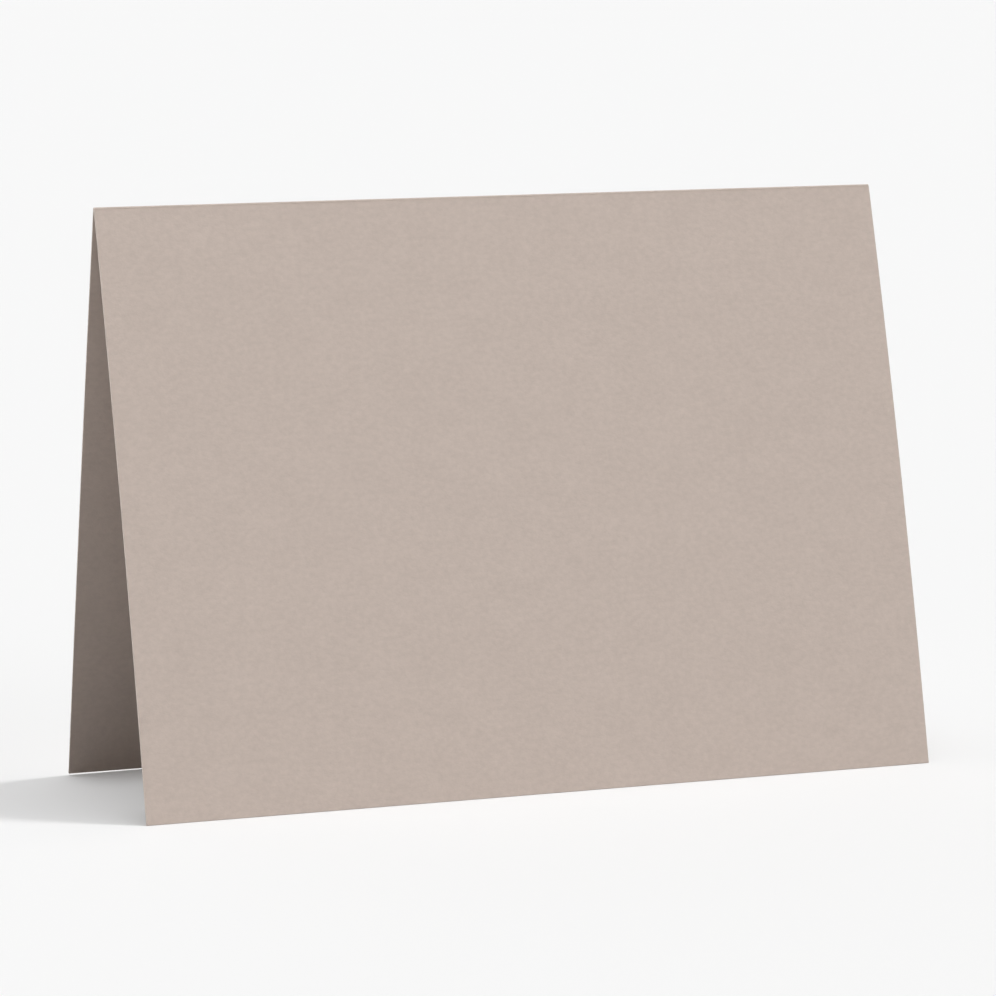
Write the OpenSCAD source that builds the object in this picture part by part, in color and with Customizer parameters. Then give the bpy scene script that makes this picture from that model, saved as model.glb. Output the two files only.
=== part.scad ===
// Folded card: one sheet of card stock, scored across its middle and folded into a standing tent.
// X runs along the fold, the front panel faces -Y, and the two free edges stand on Z = 0.

/* [Sheet] */
// Width of the card, along the fold
card_w = 139.7; // [60:0.1:300]
// Height of each panel inside the card, straight from the fold line to its free edge
panel_h = 101.3; // [60:0.1:160]
// Thickness of the card stock
stock_t = 0.36; // [0.34:0.01:0.6]

/* [Stance] */
// Angle between the two panels, in degrees
opening_angle = 28; // [16:0.5:60]
// Outward bow of the front panel at its middle
front_bow = 1.0; // [0.3:0.05:3]
// Outward bow of the back panel at its middle
back_bow = 0.4; // [0.3:0.05:3]

/* [Fold] */
// Width of the score, the crushed strip that the sheet bends along
score_w = 0.3; // [0.1:0.02:0.4]
// Radius of the fold's nose, about the fold line where the two inner faces would meet
nose_r = 0.3; // [0.24:0.01:0.32]
// Radius of the bead that the score raises inside the fold
bead_r = 0.2; // [0.18:0.01:0.26]

/* [Hidden] */

// Facets on a full turn, many because a panel is only a few degrees of a very wide ring
$fn = 1440;

// Warm grey of the stock, the same on both faces
stock_colour = [0.75, 0.69, 0.66];

// Each panel leans by half the opening, from the fold line down to its foot line
lean = opening_angle / 2;
fold_z = panel_h * cos(lean);
foot_y = panel_h * sin(lean);

// Radius of an arc that rises by the bow over a chord as long as the panel is high
function bow_r(bow) = panel_h ^ 2 / (8 * bow) + bow / 2;

// Angle on that arc from its middle to the point that lies this far along the chord
function bow_angle(bow, along) = asin(along / bow_r(bow));

// Unit vector at an angle from Y towards Z
function direction(angle) = [cos(angle), sin(angle)];

// Section of one panel, on the +Y side: a stretch of a thin ring, cut square at its foot and at the score
module panel_section(bow) {
    r = bow_r(bow);
    foot_a = lean - bow_angle(bow, panel_h / 2);
    score_a = lean + bow_angle(bow, panel_h / 2 - score_w / 2);
    // The wedge that cuts the ring reaches well past it
    reach = 2 * (r + stock_t);
    translate([foot_y, fold_z] / 2 - (r - bow) * direction(lean))
    intersection() {
        difference() {
            circle(r + stock_t);
            circle(r);
        }
        polygon([[0, 0], reach * direction(foot_a), reach * direction(score_a)]);
    }
}

// Section of the scored fold: a round nose between the panels' shoulders, and a bead under it inside
module fold_section() {
    translate([0, fold_z])
    circle(nose_r);
    translate([0, fold_z - bead_r])
    circle(bead_r);
}

// The sheet: its section, drawn with Y across and Z up, run along the fold
module folded_card() {
    color(stock_colour)
    rotate([90, 0, 90])
    linear_extrude(card_w, center = true) {
        mirror([1, 0])
        panel_section(front_bow);
        panel_section(back_bow);
        fold_section();
    }
}

folded_card();
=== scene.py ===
"""Folded card: a plain tent card of warm grey stock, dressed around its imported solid."""

from math import asin, cos, radians, sin

import bmesh
import bpy
from bpy.props import FloatProperty, FloatVectorProperty, PointerProperty
from mathutils import Euler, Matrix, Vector


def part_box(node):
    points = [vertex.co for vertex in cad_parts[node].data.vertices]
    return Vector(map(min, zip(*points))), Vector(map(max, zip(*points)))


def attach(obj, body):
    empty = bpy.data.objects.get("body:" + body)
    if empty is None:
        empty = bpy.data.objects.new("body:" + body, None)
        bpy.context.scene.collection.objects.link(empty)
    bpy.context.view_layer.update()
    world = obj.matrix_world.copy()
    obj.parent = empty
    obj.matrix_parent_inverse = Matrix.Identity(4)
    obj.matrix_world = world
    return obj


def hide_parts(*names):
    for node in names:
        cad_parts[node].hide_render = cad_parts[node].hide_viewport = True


bl_info = {
    "name": "Folded Card",
    "version": (1, 0, 0),
    "blender": (4, 5, 0),
    "location": "View3D > Sidebar > Folded Card",
    "description": "Builds a scored and folded card of plain stock, and a pale studio round it",
    "category": "Add Mesh",
}

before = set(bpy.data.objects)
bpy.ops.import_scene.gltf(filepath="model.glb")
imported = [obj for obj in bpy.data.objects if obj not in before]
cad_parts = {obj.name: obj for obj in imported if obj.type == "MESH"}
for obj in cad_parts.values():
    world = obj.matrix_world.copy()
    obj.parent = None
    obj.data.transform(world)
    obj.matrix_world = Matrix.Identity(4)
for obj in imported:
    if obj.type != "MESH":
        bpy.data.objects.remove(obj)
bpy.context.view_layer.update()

NODE = "folded_card"
BODY = "root"
ALONG = Vector((1, 0, 0))

# How finely the sheet is divided: up a panel, round the fold's nose and its bead, and along the fold.
# The bead has two steps more than the nose, which has a straight shoulder on each side.
PANEL_STEPS = 24
NOSE_STEPS = 10
BEAD_STEPS = NOSE_STEPS + 2
FOLD_CUTS = 35

# Edges sharper than these are a blade's cut, and a crease in the shading
CUT_ANGLE = radians(80)
CREASE_ANGLE = radians(20)

# A face is a cut where its normal leans less than this from the fold, or at a foot from straight down
CUT_LEAN = radians(25)

# Steps in the rounding of a cut, and how many score widths below the fold line the rounding stops
CUT_SEGMENTS = 2
ROUNDING_STOP = 2

# Patterns of the pulp: repeats in a metre, octaves, share of the tone and share of the height
FUZZ = (4200, 1, 0.16, 0.4)
FIBRES = (1300, 2, 0.61, 0.6)
CLOUDS = (220, 2, 0.23, 0.0)

# How far the roughness follows the tone: pale fibres stand proud and are rubbed a little smoother
ROUGHNESS_SWING = -0.3

# How the patterns are squeezed: a little less along the fold on a face, and hard across the layers on a cut
FACE_SQUEEZE = (0.7, 1, 1)
CUT_SQUEEZE = (6, 6, 1)

# Width that the camera's focal length is told for, in millimetres
SENSOR_WIDTH = 36

# Soft boxes far round the table: azimuth from X towards Y, height, how tightly each beams, and its strength
SOFT_BOXES = {
    "front_right": (radians(315), radians(10), 12, 3.75),
    "front_left": (radians(240), radians(3), 30, 2.23),
    "left": (radians(180), radians(8), 30, 3.0),
    "overhead": (0, radians(90), 40, 9.48),
    "back": (radians(90), radians(15), 3, 0.9),
}


def box_width():
    """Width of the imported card, along the fold."""
    low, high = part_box(NODE)
    return high.x - low.x


class CardSheetSettings(bpy.types.PropertyGroup):
    """Sizes of the folded sheet"""

    width: FloatProperty(
        name="Width", description="Length of the fold",
        default=box_width(), min=0.06, unit="LENGTH", precision=4)
    panel_height: FloatProperty(
        name="Panel Height", description="Straight from the fold line to the free edge, inside the card",
        default=0.1013, min=0.06, unit="LENGTH", precision=4)
    thickness: FloatProperty(
        name="Thickness", description="Thickness of the card stock",
        default=0.00036, min=0.0003, unit="LENGTH", precision=5)
    opening: FloatProperty(
        name="Opening", description="Angle between the two panels",
        default=radians(28), min=radians(16), max=radians(60), subtype="ANGLE")
    front_bow: FloatProperty(
        name="Front Bow", description="Outward bow of the front panel at its middle",
        default=0.001, min=0.0002, unit="LENGTH", precision=5)
    back_bow: FloatProperty(
        name="Back Bow", description="Outward bow of the back panel at its middle",
        default=0.0004, min=0.0002, unit="LENGTH", precision=5)
    score_width: FloatProperty(
        name="Score Width", description="Width of the crushed strip that the sheet bends along",
        default=0.0003, min=0.0001, unit="LENGTH", precision=5)
    nose_radius: FloatProperty(
        name="Nose Radius", description="Radius of the fold's round nose, about the fold line",
        default=0.0003, min=0.0002, unit="LENGTH", precision=5)
    bead_radius: FloatProperty(
        name="Bead Radius", description="Radius of the bead that the score raises inside the fold",
        default=0.0002, min=0.0001, unit="LENGTH", precision=5)
    cut_round: FloatProperty(
        name="Cut Rounding", description="Rounding of the edges that the blade leaves",
        default=0.00003, min=0.0, unit="LENGTH", precision=6)
    corner_spring: FloatVectorProperty(
        name="Corner Spring",
        description="How far the back panel's left corner springs in and clear of the table",
        default=(-0.0004, -0.00155, 0.0003), subtype="TRANSLATION", unit="LENGTH", precision=6)
    corner_reach: FloatProperty(
        name="Corner Reach", description="How far from that corner the spring is felt",
        default=0.06, min=0.005, unit="LENGTH", precision=4)


class CardPaperSettings(bpy.types.PropertyGroup):
    """Colour and surface of the stock"""

    colour: FloatVectorProperty(
        name="Colour", description="Colour of the stock, dyed through",
        default=(0.515, 0.434, 0.386), min=0.0, max=1.0, subtype="COLOR")
    mottle: FloatProperty(
        name="Mottle", description="How much the tone changes from fibre to fibre",
        default=0.31, min=0.0, max=1.0, subtype="FACTOR")
    cut_colour: FloatVectorProperty(
        name="Cut Colour", description="Colour of the pulp where the blade has bared it",
        default=(0.78, 0.69, 0.63), min=0.0, max=1.0, subtype="COLOR")
    cut_mottle: FloatProperty(
        name="Cut Mottle", description="How much the tone changes from layer to layer on a cut",
        default=0.5, min=0.0, max=1.0, subtype="FACTOR")
    roughness: FloatProperty(
        name="Roughness", description="Roughness of the uncoated face",
        default=0.85, min=0.0, max=1.0, subtype="FACTOR")
    shine: FloatProperty(
        name="Shine", description="Specular level of the stock, which is uncoated and hardly shines",
        default=0.2, min=0.0, max=1.0, subtype="FACTOR")
    tooth: FloatProperty(
        name="Tooth", description="Height of the fibres on the face",
        default=0.00004, min=0.0, unit="LENGTH", precision=6)


class CardStageSettings(bpy.types.PropertyGroup):
    """Table, light and view"""

    floor_size: FloatProperty(
        name="Floor Size", description="Side of the pale floor",
        default=60.0, min=1.0, unit="LENGTH")
    floor_colour: FloatVectorProperty(
        name="Floor Colour", description="Colour of the floor",
        default=(0.82, 0.82, 0.82), min=0.0, max=1.0, subtype="COLOR")
    backdrop_colour: FloatVectorProperty(
        name="Backdrop Colour", description="Colour seen past the floor's far edge",
        default=(0.939, 0.939, 0.939), min=0.0, max=1.0, subtype="COLOR")
    floor_glow: FloatProperty(
        name="Floor Glow", description="Share of the backdrop's colour that the floor shows of itself",
        default=0.365, min=0.0, max=1.0, subtype="FACTOR")
    # The floor's glow dims within this reach of the card: painted shade beside the card and under its feet.
    painted_shade_reach: FloatProperty(
        name="Contact Reach", description="How near the card has to come before the floor's glow dims",
        default=0.014, min=0.001, unit="LENGTH", precision=4)
    key_direction: FloatVectorProperty(
        name="Key Direction", description="Towards the key light",
        default=(0.428, -0.106, 0.896), subtype="DIRECTION")
    key_strength: FloatProperty(
        name="Key Strength", description="Strength of the key light",
        default=1.42, min=0.0)
    key_angle: FloatProperty(
        name="Key Softness", description="Angle that the key light spans",
        default=radians(8), min=0.0, subtype="ANGLE")
    fill_strength: FloatProperty(
        name="Fill Strength", description="Strength of all the soft boxes together",
        default=1.0, min=0.0)
    camera_place: FloatVectorProperty(
        name="Camera Place", description="Where the camera stands",
        default=(-0.254946, -0.693293, 0.138949), subtype="TRANSLATION", unit="LENGTH", precision=5)
    camera_turn: FloatVectorProperty(
        name="Camera Turn", description="Turn of the camera about X, Y and Z",
        default=(radians(82.89742), radians(0.57028), radians(-20.2835)), subtype="EULER")
    camera_lens: FloatProperty(
        name="Camera Lens", description="Focal length in millimetres",
        default=157.3907, min=1.0)


def in_section(angle, radius=1.0):
    """A vector in the card's section, at an angle from Y towards Z."""
    return Vector((0, radius * cos(angle), radius * sin(angle)))


class PanelArc:
    """One bowed panel's arc in the section, on the +Y side"""

    def __init__(self, sheet, bow):
        lean = sheet.opening / 2
        height = sheet.panel_height
        self.radius = height ** 2 / (8 * bow) + bow / 2
        half = asin(height / 2 / self.radius)
        middle = Vector((0, sin(lean), cos(lean))) * height / 2
        self.centre = middle - in_section(lean, self.radius - bow)
        self.foot = lean - half
        self.fold = lean + half
        self.score = self.fold - sheet.score_width / 2 / self.radius
        self.bead = self.fold - 2 * sheet.bead_radius * cos(self.fold) / self.radius

    def point(self, angle, outside=0.0):
        """The point at an angle on the inner face, or this far outside it."""
        return self.centre + in_section(angle, self.radius + outside)


def across(point):
    """The same point on the card's other side."""
    return Vector((point.x, -point.y, point.z))


def swing(bm, vert, centre, angle, steps):
    """Swing a vertex about an axis along the fold, and return the end of the arc it leaves."""
    arc = bmesh.ops.spin(bm, geom=[vert], cent=centre, axis=ALONG, angle=angle, steps=steps)
    return arc["geom_last"][0]


def draw_to(bm, vert, point):
    """Draw a straight line from a vertex to a point, and return its end."""
    made = bmesh.ops.extrude_vert_indiv(bm, verts=[vert])["verts"][0]
    made.co = point
    return made


def draw_section(bm, sheet):
    """Outer and inner line of the card's section, from the front foot over the fold to the back foot."""
    front = PanelArc(sheet, sheet.front_bow)
    back = PanelArc(sheet, sheet.back_bow)
    stock = sheet.thickness
    fold_line = Vector((0, 0, sheet.panel_height * cos(sheet.opening / 2)))
    bead_line = fold_line - Vector((0, 0, sheet.bead_radius))
    half_score = asin(sheet.score_width / 2 / sheet.nose_radius)
    front_nose = front.fold - half_score
    back_nose = back.fold - half_score
    half_turn = radians(180)

    vert = bm.verts.new(across(front.point(front.foot, stock)))
    vert = swing(bm, vert, across(front.centre), front.foot - front.score, PANEL_STEPS)
    vert = draw_to(bm, vert, fold_line + across(in_section(front_nose, sheet.nose_radius)))
    vert = swing(bm, vert, fold_line, front_nose + back_nose - half_turn, NOSE_STEPS)
    vert = draw_to(bm, vert, back.point(back.score, stock))
    swing(bm, vert, back.centre, back.foot - back.score, PANEL_STEPS)

    vert = bm.verts.new(across(front.point(front.foot)))
    vert = swing(bm, vert, across(front.centre), front.foot - front.bead, PANEL_STEPS)
    vert = swing(bm, vert, bead_line, 2 * (front.fold + back.fold), BEAD_STEPS)
    swing(bm, vert, back.centre, back.foot - back.bead, PANEL_STEPS)


def is_cut(edge, top):
    """Whether the blade left this edge, between a face of the sheet and a cut, below this height."""
    below = all(vert.co.z < top for vert in edge.verts)
    return below and edge.calc_face_angle() > CUT_ANGLE


def is_bared(face, stock):
    """Whether this face is a cut through the sheet: one of its ends, or a foot."""
    at_foot = face.calc_center_median().z < stock and -face.normal.z > cos(CUT_LEAN)
    return at_foot or abs(face.normal.x) > cos(CUT_LEAN)


def spring_corner(bm, sheet):
    """Curl the back panel's left corner in and up, so that it stands a little clear of the table."""
    back = PanelArc(sheet, sheet.back_bow)
    corner = Vector((-sheet.width / 2, *back.point(back.foot).yz))
    spring = Vector(sheet.corner_spring)
    for vert in bm.verts:
        near = max(0.0, 1 - (vert.co - corner).length / sheet.corner_reach)
        if vert.co.y > 0:
            vert.co += spring * near ** 2


def build_sheet(sheet):
    """The folded sheet as a mesh: its section bridged, run along the fold and rounded at the cuts."""
    bm = bmesh.new()
    draw_section(bm, sheet)
    bmesh.ops.bridge_loops(bm, edges=bm.edges[:])
    bmesh.ops.translate(bm, verts=bm.verts[:], vec=-ALONG * sheet.width / 2)
    end = bmesh.ops.extrude_face_region(bm, geom=bm.faces[:], use_keep_orig=True)["geom"]
    end_verts = [part for part in end if isinstance(part, bmesh.types.BMVert)]
    bmesh.ops.translate(bm, verts=end_verts, vec=ALONG * sheet.width)
    bmesh.ops.recalc_face_normals(bm, faces=bm.faces[:])
    runs = [edge for edge in bm.edges if edge.calc_length() > sheet.width / 2]
    bmesh.ops.subdivide_edges(bm, edges=runs, cuts=FOLD_CUTS, use_grid_fill=True)
    bm.normal_update()
    for face in bm.faces:
        face.material_index = int(is_bared(face, sheet.thickness))
    spring_corner(bm, sheet)
    top = sheet.panel_height * cos(sheet.opening / 2) - ROUNDING_STOP * sheet.score_width
    cuts = [edge for edge in bm.edges if is_cut(edge, top)]
    bmesh.ops.bevel(bm, geom=cuts, offset=sheet.cut_round, segments=CUT_SEGMENTS, profile=0.5,
                    affect="EDGES", material=-1, clamp_overlap=True)
    for face in bm.faces:
        face.smooth = True
    for edge in bm.edges:
        edge.smooth = edge.calc_face_angle() < CREASE_ANGLE
    mesh = bpy.data.meshes.new(NODE + "_sheet")
    bm.to_mesh(mesh)
    bm.free()
    return mesh


def maths(tree, operation, *values):
    """A Math node on these values, which are numbers or sockets, and its result."""
    node = tree.nodes.new("ShaderNodeMath")
    node.operation = operation
    for socket, value in zip(node.inputs, values):
        if isinstance(value, bpy.types.NodeSocket):
            tree.links.new(value, socket)
        else:
            socket.default_value = value
    return node.outputs["Value"]


def pulp_group():
    """Dyed pulp: fuzz, fibres and slow clouds, as a colour, a roughness and a height."""
    group = bpy.data.node_groups.new("dyed_pulp", "ShaderNodeTree")
    inputs = {"Vector": "Vector", "Colour": "Color", "Mottle": "Float", "Roughness": "Float"}
    outputs = {"Colour": "Color", "Roughness": "Float", "Height": "Float"}
    for side, sockets in (("INPUT", inputs), ("OUTPUT", outputs)):
        for name, kind in sockets.items():
            group.interface.new_socket(name, in_out=side, socket_type="NodeSocket" + kind)
    nodes, links = group.nodes, group.links
    given = nodes.new("NodeGroupInput").outputs
    result = nodes.new("NodeGroupOutput").inputs

    # Each pattern is a half on average and their shares add up to one, so the tone lies round nought
    tone, height = -0.5, 0.0
    for scale, octaves, tone_share, height_share in (FUZZ, FIBRES, CLOUDS):
        noise = nodes.new("ShaderNodeTexNoise")
        noise.inputs["Scale"].default_value = scale
        noise.inputs["Detail"].default_value = octaves
        links.new(given["Vector"], noise.inputs["Vector"])
        tone = maths(group, "MULTIPLY_ADD", noise.outputs["Fac"], tone_share, tone)
        if height_share:
            height = maths(group, "MULTIPLY_ADD", noise.outputs["Fac"], height_share, height)

    tint = nodes.new("ShaderNodeVectorMath")
    tint.operation = "SCALE"
    links.new(given["Colour"], tint.inputs["Vector"])
    links.new(maths(group, "MULTIPLY_ADD", tone, given["Mottle"], 1.0), tint.inputs["Scale"])
    links.new(tint.outputs["Vector"], result["Colour"])
    links.new(maths(group, "MULTIPLY_ADD", tone, ROUGHNESS_SWING, given["Roughness"]), result["Roughness"])
    links.new(height, result["Height"])
    return group


def paper_material(name, paper, pulp, squeeze, colour, mottle):
    """Uncoated stock, on a face of the sheet or on a cut through it."""
    material = bpy.data.materials.new(name)
    material.use_nodes = True
    nodes, links = material.node_tree.nodes, material.node_tree.links
    shader = nodes["Principled BSDF"]
    shader.inputs["Specular IOR Level"].default_value = paper.shine
    place = nodes.new("ShaderNodeTexCoord")
    mapping = nodes.new("ShaderNodeMapping")
    mapping.inputs["Scale"].default_value = squeeze
    fibres = nodes.new("ShaderNodeGroup")
    fibres.node_tree = pulp
    fibres.inputs["Colour"].default_value = (*colour, 1)
    fibres.inputs["Mottle"].default_value = mottle
    fibres.inputs["Roughness"].default_value = paper.roughness
    bump = nodes.new("ShaderNodeBump")
    bump.inputs["Distance"].default_value = paper.tooth
    links.new(place.outputs["Object"], mapping.inputs["Vector"])
    links.new(mapping.outputs["Vector"], fibres.inputs["Vector"])
    links.new(fibres.outputs["Colour"], shader.inputs["Base Color"])
    links.new(fibres.outputs["Roughness"], shader.inputs["Roughness"])
    links.new(fibres.outputs["Height"], bump.inputs["Height"])
    links.new(bump.outputs["Normal"], shader.inputs["Normal"])
    return material


class MESH_OT_folded_card_sheet(bpy.types.Operator):
    """Build the folded sheet in place of the plain solid"""

    bl_idname = "mesh.folded_card_sheet"
    bl_label = "Folded Sheet"

    def execute(self, context):
        sheet = context.scene.card_sheet
        paper = context.scene.card_paper
        piece = bpy.data.objects.new(NODE + "_sheet", build_sheet(sheet))
        context.scene.collection.objects.link(piece)
        pulp = pulp_group()
        face = paper_material("card_face", paper, pulp, FACE_SQUEEZE, paper.colour, paper.mottle)
        cut = paper_material("card_cut", paper, pulp, CUT_SQUEEZE, paper.cut_colour, paper.cut_mottle)
        piece.data.materials.append(face)
        piece.data.materials.append(cut)
        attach(piece, BODY)
        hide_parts(NODE)
        return {"FINISHED"}


def seen_rays(tree):
    """One for rays that look, straight or by reflection, and nought for rays that light."""
    path = tree.nodes.new("ShaderNodeLightPath").outputs
    seen = maths(tree, "MAXIMUM", path["Is Camera Ray"], path["Is Glossy Ray"])
    return maths(tree, "MAXIMUM", seen, path["Is Transmission Ray"])


def blend_shaders(tree, share, first, second, output):
    """Put out a blend of two shaders, with this share of the second."""
    mix = tree.nodes.new("ShaderNodeMixShader")
    for socket, source in zip(mix.inputs, (share, first, second)):
        tree.links.new(source, socket)
    tree.links.new(mix.outputs["Shader"], tree.nodes[output].inputs["Surface"])


def floor_material(stage):
    """A matt floor that glows a little to the eye, keeps the shadow, and has painted shade beside the card.
    """
    material = bpy.data.materials.new("pale_floor")
    material.use_nodes = True
    tree = material.node_tree
    shader = tree.nodes["Principled BSDF"]
    shader.inputs["Base Color"].default_value = (*stage.floor_colour, 1)
    shader.inputs["Roughness"].default_value = 1.0
    shader.inputs["Specular IOR Level"].default_value = 0.0
    glow = tree.nodes.new("ShaderNodeEmission")
    glow.inputs["Color"].default_value = (*stage.backdrop_colour, 1)
    # Ambient occlusion dims the glow near the card. This paints shade on the floor beside the card and
    # under its feet, on top of the real shade from the lamps.
    painted_shade_occlusion = tree.nodes.new("ShaderNodeAmbientOcclusion")
    painted_shade_occlusion.inputs["Distance"].default_value = stage.painted_shade_reach
    share = maths(tree, "MULTIPLY", painted_shade_occlusion.outputs["AO"], stage.floor_glow)
    share = maths(tree, "MULTIPLY", share, seen_rays(tree))
    blend_shaders(tree, share, shader.outputs["BSDF"], glow.outputs["Emission"], "Material Output")
    return material


def lay_floor(scene, stage):
    """A wide flat floor under the card."""
    bm = bmesh.new()
    bmesh.ops.create_grid(bm, x_segments=1, y_segments=1, size=stage.floor_size / 2)
    mesh = bpy.data.meshes.new("floor")
    bm.to_mesh(mesh)
    bm.free()
    mesh.materials.append(floor_material(stage))
    floor = bpy.data.objects.new("floor", mesh)
    scene.collection.objects.link(floor)


def hang_key(scene, stage):
    """The key light, which draws the card's shadow."""
    key = bpy.data.lights.new("key", "SUN")
    key.energy = stage.key_strength
    key.angle = stage.key_angle
    lamp = bpy.data.objects.new("key", key)
    lamp.rotation_euler = Vector(stage.key_direction).to_track_quat("Z", "Y").to_euler()
    scene.collection.objects.link(lamp)


def towards(azimuth, height):
    """Unit vector towards a place in the sky."""
    return cos(height) * cos(azimuth), cos(height) * sin(azimuth), sin(height)


def set_soft_boxes(scene, stage):
    """The world, which lights with soft boxes and shows a plain backdrop."""
    world = bpy.data.worlds.new("studio")
    scene.world = world
    world.use_nodes = True
    tree = world.node_tree
    sky = tree.nodes.new("ShaderNodeTexCoord")
    light = 0.0
    for azimuth, height, tightness, strength in SOFT_BOXES.values():
        facing = tree.nodes.new("ShaderNodeVectorMath")
        facing.operation = "DOT_PRODUCT"
        facing.inputs[1].default_value = towards(azimuth, height)
        tree.links.new(sky.outputs["Generated"], facing.inputs[0])
        beam = maths(tree, "POWER", maths(tree, "MAXIMUM", facing.outputs["Value"], 0.0), tightness)
        light = maths(tree, "MULTIPLY_ADD", beam, strength * stage.fill_strength, light)
    boxes = tree.nodes["Background"]
    boxes.inputs["Color"].default_value = (1, 1, 1, 1)
    tree.links.new(light, boxes.inputs["Strength"])
    backdrop = tree.nodes.new("ShaderNodeBackground")
    backdrop.inputs["Color"].default_value = (*stage.backdrop_colour, 1)
    sources = boxes.outputs["Background"], backdrop.outputs["Background"]
    blend_shaders(tree, seen_rays(tree), *sources, "World Output")


def set_camera(scene, stage):
    """The camera, at the photograph's viewing angle."""
    lens = bpy.data.cameras.new("view")
    lens.lens = stage.camera_lens
    lens.sensor_width = SENSOR_WIDTH
    camera = bpy.data.objects.new("view", lens)
    camera.location = stage.camera_place
    camera.rotation_euler = Euler(stage.camera_turn)
    scene.collection.objects.link(camera)
    scene.camera = camera


class SCENE_OT_folded_card_stage(bpy.types.Operator):
    """Lay the pale floor, light it and set the camera"""

    bl_idname = "scene.folded_card_stage"
    bl_label = "Stage"

    def execute(self, context):
        stage = context.scene.card_stage
        for prepare in (lay_floor, hang_key, set_soft_boxes, set_camera):
            prepare(context.scene, stage)
        context.scene.view_settings.view_transform = "Standard"
        return {"FINISHED"}


class VIEW3D_PT_folded_card(bpy.types.Panel):
    """Sizes, stock and stage of the folded card"""

    bl_idname = "VIEW3D_PT_folded_card"
    bl_label = "Folded Card"
    bl_space_type = "VIEW_3D"
    bl_region_type = "UI"
    bl_category = "Folded Card"

    def draw(self, context):
        for settings, operator in (
            (context.scene.card_sheet, MESH_OT_folded_card_sheet),
            (context.scene.card_paper, None),
            (context.scene.card_stage, SCENE_OT_folded_card_stage),
        ):
            column = self.layout.column(align=True)
            for name in settings.bl_rna.properties.keys():
                if name not in ("rna_type", "name"):
                    column.prop(settings, name)
            if operator:
                column.operator(operator.bl_idname)


CLASSES = (
    CardSheetSettings,
    CardPaperSettings,
    CardStageSettings,
    MESH_OT_folded_card_sheet,
    SCENE_OT_folded_card_stage,
    VIEW3D_PT_folded_card,
)


def register():
    for cls in CLASSES:
        bpy.utils.register_class(cls)
    bpy.types.Scene.card_sheet = PointerProperty(type=CardSheetSettings)
    bpy.types.Scene.card_paper = PointerProperty(type=CardPaperSettings)
    bpy.types.Scene.card_stage = PointerProperty(type=CardStageSettings)


def unregister():
    del bpy.types.Scene.card_stage
    del bpy.types.Scene.card_paper
    del bpy.types.Scene.card_sheet
    for cls in reversed(CLASSES):
        bpy.utils.unregister_class(cls)


def main():
    """Build the card and its stage."""
    register()
    bpy.ops.mesh.folded_card_sheet()
    bpy.ops.scene.folded_card_stage()


if __name__ == "__main__":
    main()
